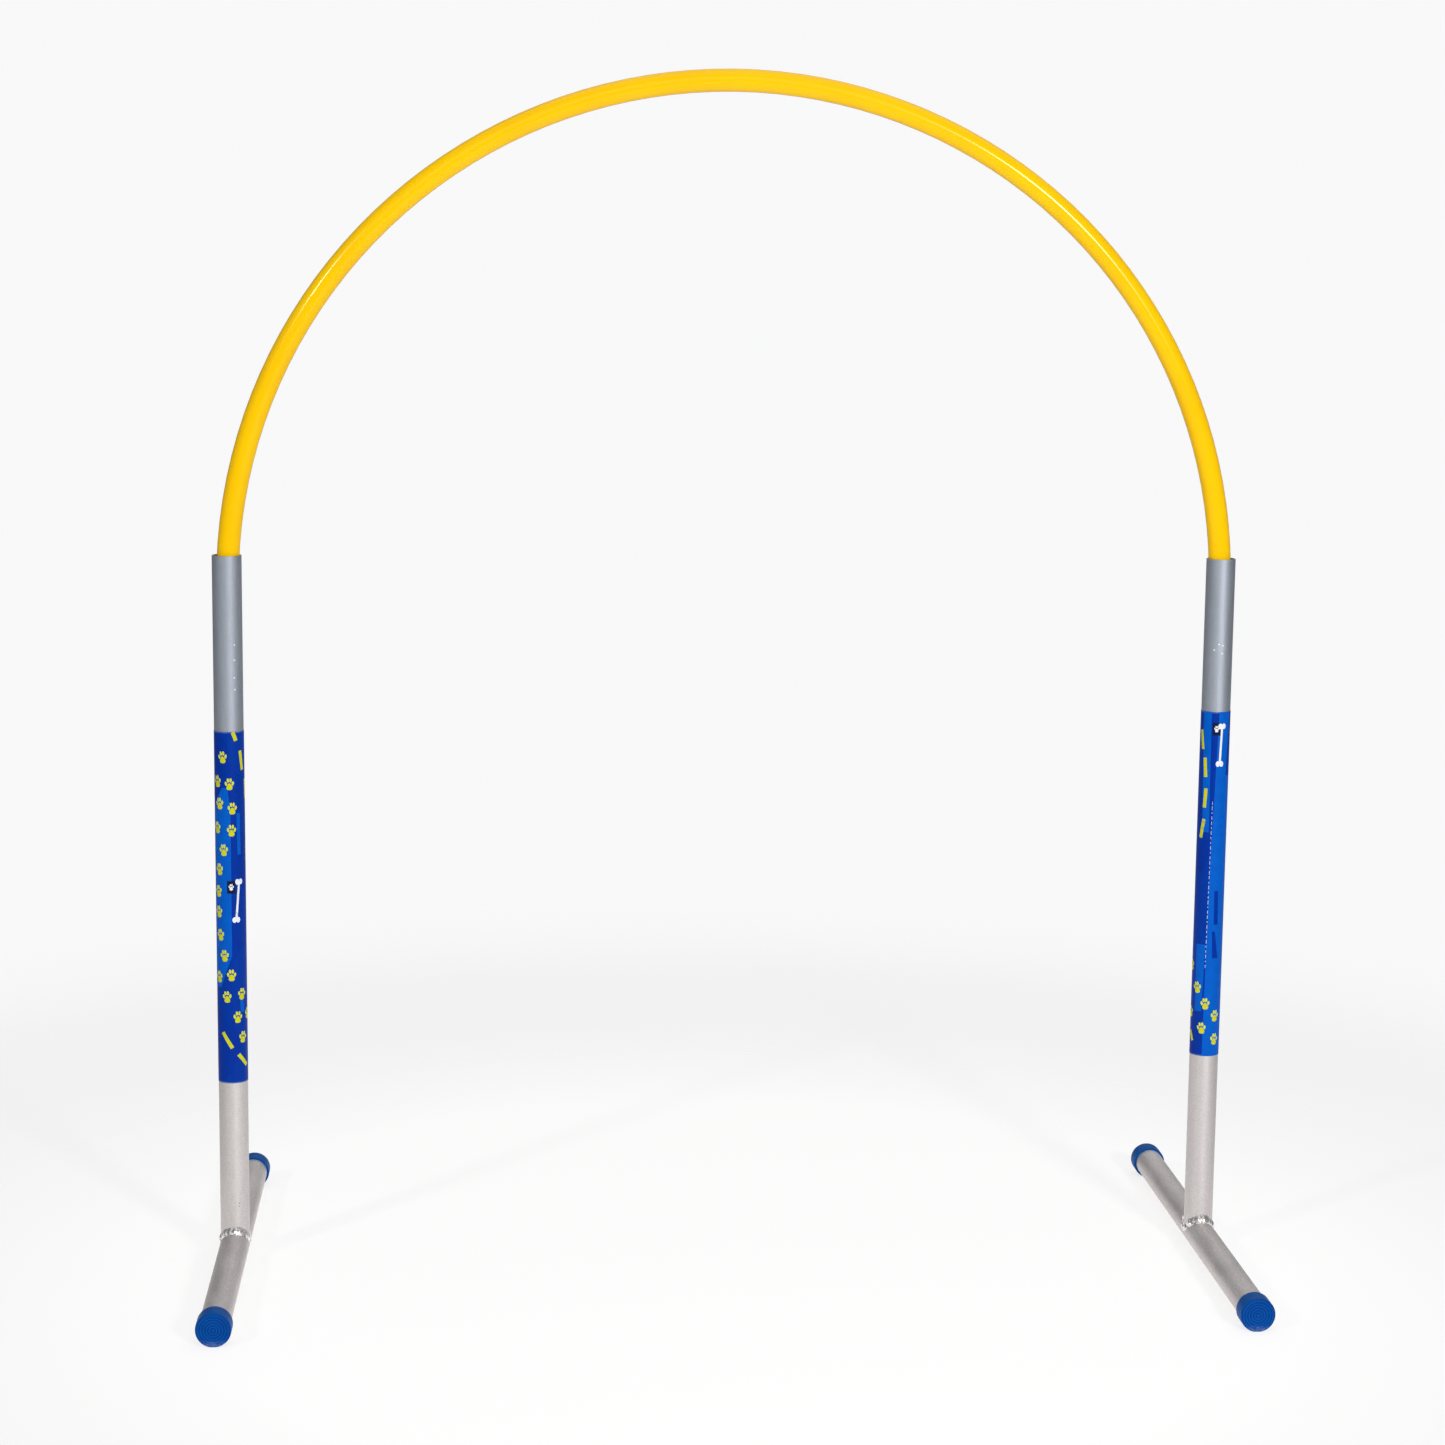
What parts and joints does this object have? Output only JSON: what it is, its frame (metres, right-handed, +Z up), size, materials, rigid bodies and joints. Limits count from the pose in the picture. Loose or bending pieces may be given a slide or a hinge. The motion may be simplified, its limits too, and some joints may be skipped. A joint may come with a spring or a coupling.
{
  "type": "agility hoop",
  "caption": "Free-standing hoop for dog agility: a bent plastic pipe bow standing in sockets on T-shaped tubular metal feet with plastic end caps.",
  "frame": {"origin": "on the floor, midway between the two feet", "axes": "+Z up, +X to the right along the width of the hoop, +Y to the rear, the way a dog runs through"},
  "size_m": [0.8808, 0.45, 1.023],
  "materials": {
    "bow_plastic": "glossy yellow polyethylene pipe",
    "tube_aluminium": "satin mill-finish extruded tube",
    "weld_aluminium": "bright rippled weld",
    "cap_plastic": "semi-matt blue moulded plastic",
    "print_film": "glossy blue printed vinyl film",
    "stop_plastic": "matt black plastic"
  },
  "bodies": {
    "pipe_stops": {"left_pipe_stop": "stop_plastic", "right_pipe_stop": "stop_plastic"},
    "bow": {"bow_pipe": "bow_plastic"},
    "left_foot": {"left_upright_tube": "tube_aluminium", "left_foot_tube": "tube_aluminium", "left_weld_bead": "weld_aluminium", "left_front_cap": "cap_plastic", "left_rear_cap": "cap_plastic", "left_printed_film": "print_film"},
    "right_foot": {"right_upright_tube": "tube_aluminium", "right_foot_tube": "tube_aluminium", "right_weld_bead": "weld_aluminium", "right_front_cap": "cap_plastic", "right_rear_cap": "cap_plastic", "right_printed_film": "print_film"}
  },
  "joints": [
    {"name": "bow_lift", "type": "slide", "parent": "pipe_stops", "child": "bow", "axis": [0, 0, 1], "range_m": [0, 0.12]},
    {"name": "left_foot_swivel", "type": "hinge", "parent": "pipe_stops", "child": "left_foot", "pos_m": [-0.425, 0, 0.5], "axis": [0, 0, 1], "continuous": true},
    {"name": "right_foot_swivel", "type": "hinge", "parent": "pipe_stops", "child": "right_foot", "pos_m": [0.425, 0, 0.5], "axis": [0, 0, 1], "continuous": true}
  ]
}
